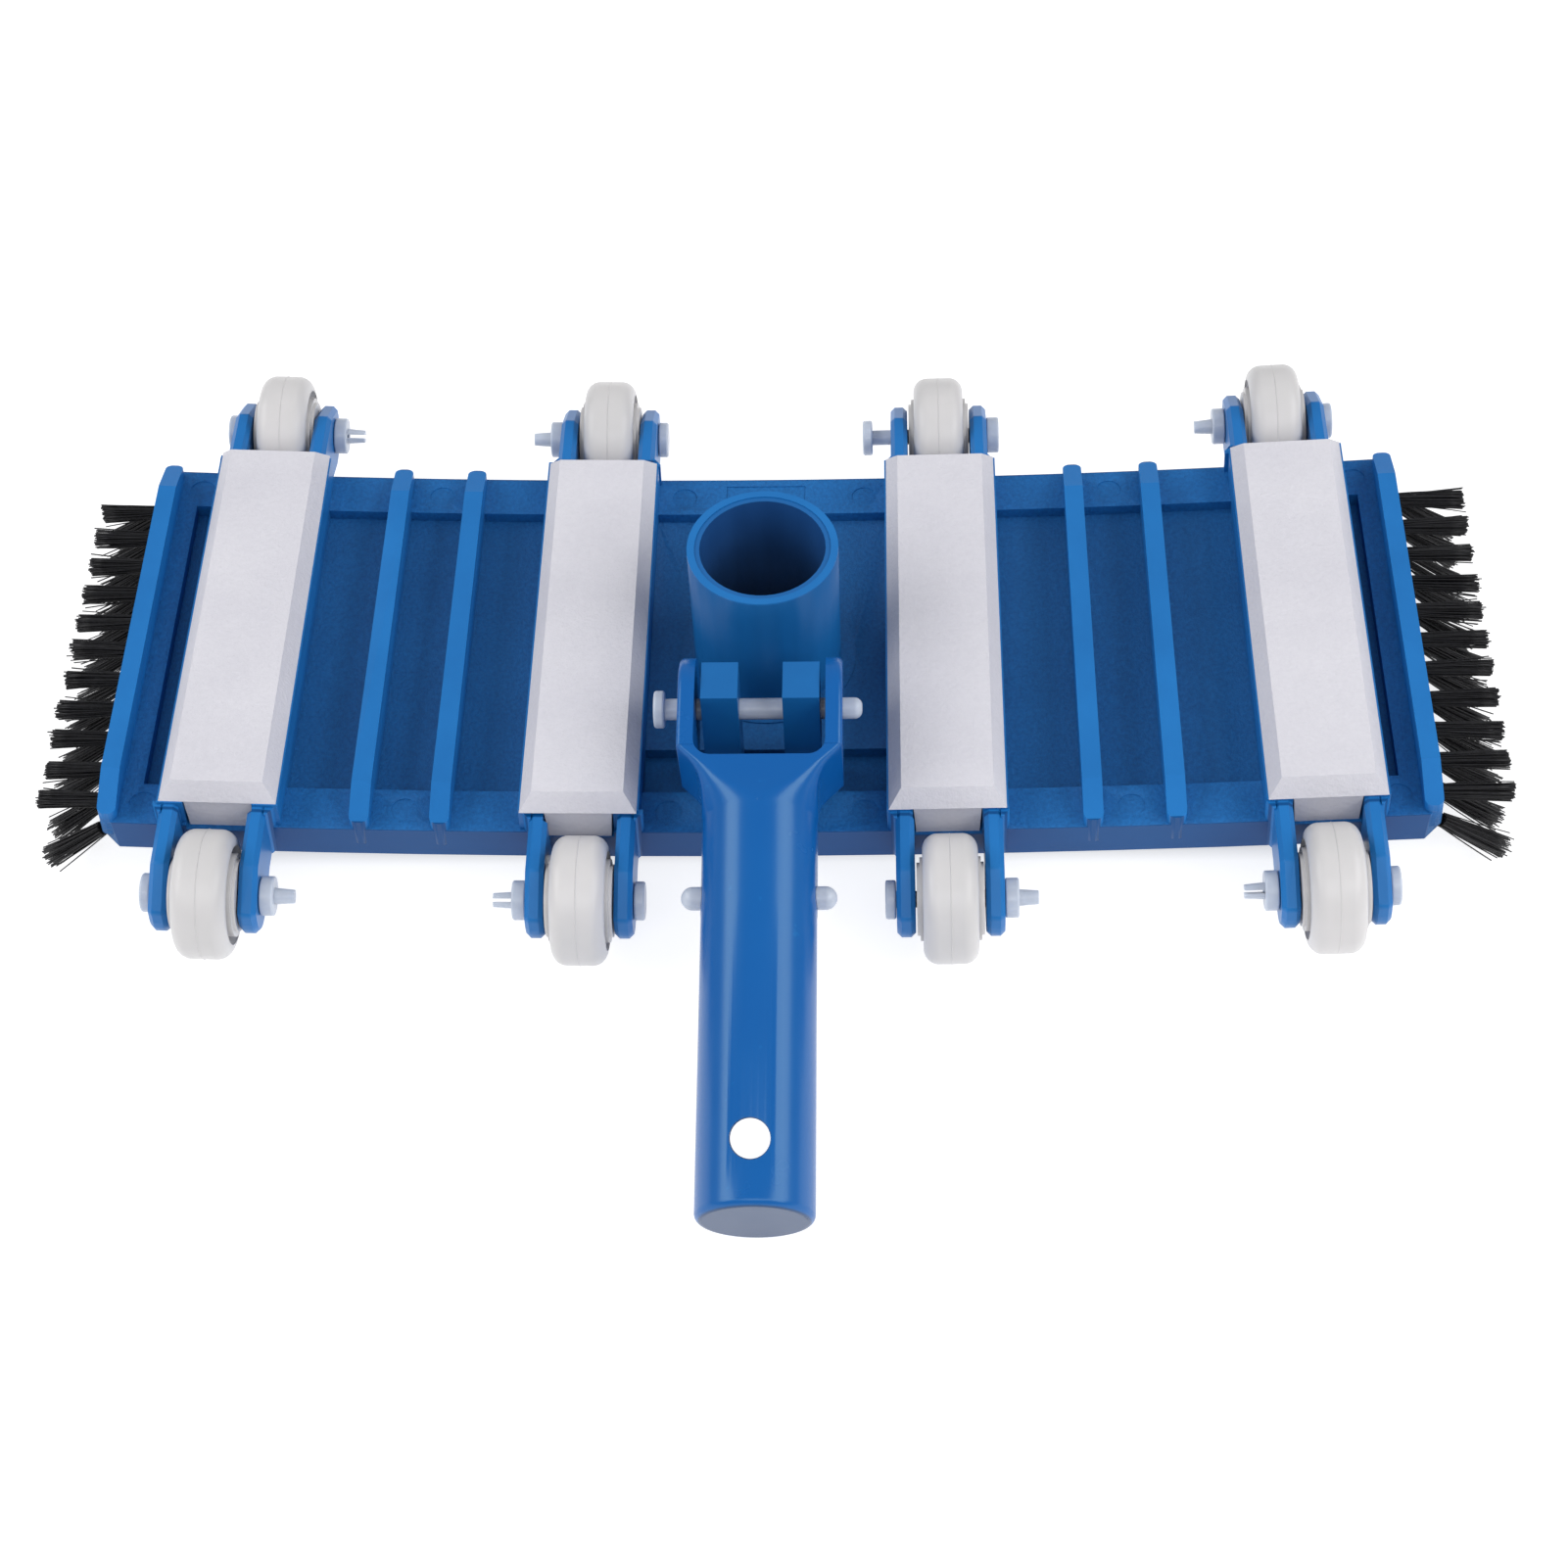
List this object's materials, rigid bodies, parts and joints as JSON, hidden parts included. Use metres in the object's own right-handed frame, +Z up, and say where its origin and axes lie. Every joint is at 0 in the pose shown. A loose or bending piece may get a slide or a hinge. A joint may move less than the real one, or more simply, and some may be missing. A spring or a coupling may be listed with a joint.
{
  "type": "manual pool vacuum head",
  "caption": "Weighted pool vacuum head: bowed blue plate on white wheels, grey weights, side bristles, round hose port and hinged pole handle.",
  "frame": {"origin": "on the floor, at the middle of the object's footprint", "axes": "+X along the head, +Y from the handle side to the far side, +Z up"},
  "size_m": [0.3954, 0.2818, 0.0619],
  "materials": {
    "body_plastic": "satin moulded blue plastic with a fine grain",
    "handle_plastic": "smooth glossy blue plastic",
    "weight_coat": "coarse sand-blasted light grey coat",
    "core_steel": "plain cast",
    "screw_steel": "stainless",
    "wheel_plastic": "smooth off-white plastic",
    "pin_nylon": "translucent cool white nylon",
    "clip_steel": "stainless spring strip",
    "button_plastic": "smooth nylon",
    "bristle_nylon": "black nylon filament"
  },
  "bodies": {
    "head": {"body_shell": "body_plastic", "weight_cover_1": "weight_coat", "weight_core_1": "core_steel", "weight_cover_2": "weight_coat", "weight_core_2": "core_steel", "weight_cover_3": "weight_coat", "weight_core_3": "core_steel", "weight_cover_4": "weight_coat", "weight_core_4": "core_steel", "weight_screws": "screw_steel", "pivot_pin": "pin_nylon", "axle_front_1": "pin_nylon", "retainer_front_1": "pin_nylon", "axle_front_2": "pin_nylon", "retainer_front_2": "pin_nylon", "axle_front_3": "pin_nylon", "retainer_front_3": "pin_nylon", "axle_front_4": "pin_nylon", "retainer_front_4": "pin_nylon", "axle_back_1": "pin_nylon", "retainer_back_1": "pin_nylon", "axle_back_2": "pin_nylon", "retainer_back_2": "pin_nylon", "axle_back_3": "pin_nylon", "retainer_back_3": "pin_nylon", "axle_back_4": "pin_nylon", "retainer_back_4": "pin_nylon", "bristles_upper_right": "bristle_nylon", "bristles_upper_left": "bristle_nylon", "bristles_lower_right": "bristle_nylon", "bristles_lower_left": "bristle_nylon"},
    "wheel_front_1": {"wheel_front_1": "wheel_plastic"},
    "wheel_front_2": {"wheel_front_2": "wheel_plastic"},
    "wheel_front_3": {"wheel_front_3": "wheel_plastic"},
    "wheel_front_4": {"wheel_front_4": "wheel_plastic"},
    "wheel_back_1": {"wheel_back_1": "wheel_plastic"},
    "wheel_back_2": {"wheel_back_2": "wheel_plastic"},
    "wheel_back_3": {"wheel_back_3": "wheel_plastic"},
    "wheel_back_4": {"wheel_back_4": "wheel_plastic"},
    "handle": {"handle": "handle_plastic", "clip_bow": "clip_steel"},
    "button_right": {"clip_button_right": "button_plastic"},
    "button_left": {"clip_button_left": "button_plastic"}
  },
  "joints": [
    {"name": "wheel_spin_front_1", "type": "hinge", "parent": "head", "child": "wheel_front_1", "pos_m": [-0.1468, -0.04446, 0.02108], "axis": [0.9983, 0, -0.0591], "continuous": true},
    {"name": "wheel_spin_front_2", "type": "hinge", "parent": "head", "child": "wheel_front_2", "pos_m": [-0.04856, -0.04446, 0.01722], "axis": [0.9998, 0, -0.0196], "continuous": true},
    {"name": "wheel_spin_front_3", "type": "hinge", "parent": "head", "child": "wheel_front_3", "pos_m": [0.04866, -0.04446, 0.01722], "axis": [0.9998, 0, 0.0196], "continuous": true},
    {"name": "wheel_spin_front_4", "type": "hinge", "parent": "head", "child": "wheel_front_4", "pos_m": [0.14789, -0.04446, 0.02115], "axis": [0.9982, 0, 0.0596], "continuous": true},
    {"name": "wheel_spin_back_1", "type": "hinge", "parent": "head", "child": "wheel_back_1", "pos_m": [-0.14601, 0.12374, 0.02104], "axis": [0.9983, 0, -0.0588], "continuous": true},
    {"name": "wheel_spin_back_2", "type": "hinge", "parent": "head", "child": "wheel_back_2", "pos_m": [-0.04926, 0.12374, 0.01723], "axis": [0.9998, 0, -0.0198], "continuous": true},
    {"name": "wheel_spin_back_3", "type": "hinge", "parent": "head", "child": "wheel_back_3", "pos_m": [0.04836, 0.12374, 0.01721], "axis": [0.9998, 0, 0.0195], "continuous": true},
    {"name": "wheel_spin_back_4", "type": "hinge", "parent": "head", "child": "wheel_back_4", "pos_m": [0.147, 0.12374, 0.02109], "axis": [0.9982, 0, 0.0592], "continuous": true},
    {"name": "handle_swing", "type": "hinge", "parent": "head", "child": "handle", "pos_m": [-0.00075, -0.00136, 0.04359], "axis": [-1, 0, 0], "range_deg": [-4, 110]},
    {"name": "button_press_right", "type": "slide", "parent": "handle", "child": "button_right", "axis": [-1, 0, 0], "range_m": [0, 0.0048], "stiffness_N_per_m": 1500},
    {"name": "button_press_left", "type": "slide", "parent": "handle", "child": "button_left", "axis": [1, 0, 0], "range_m": [0, 0.0048], "stiffness_N_per_m": 1500}
  ]
}
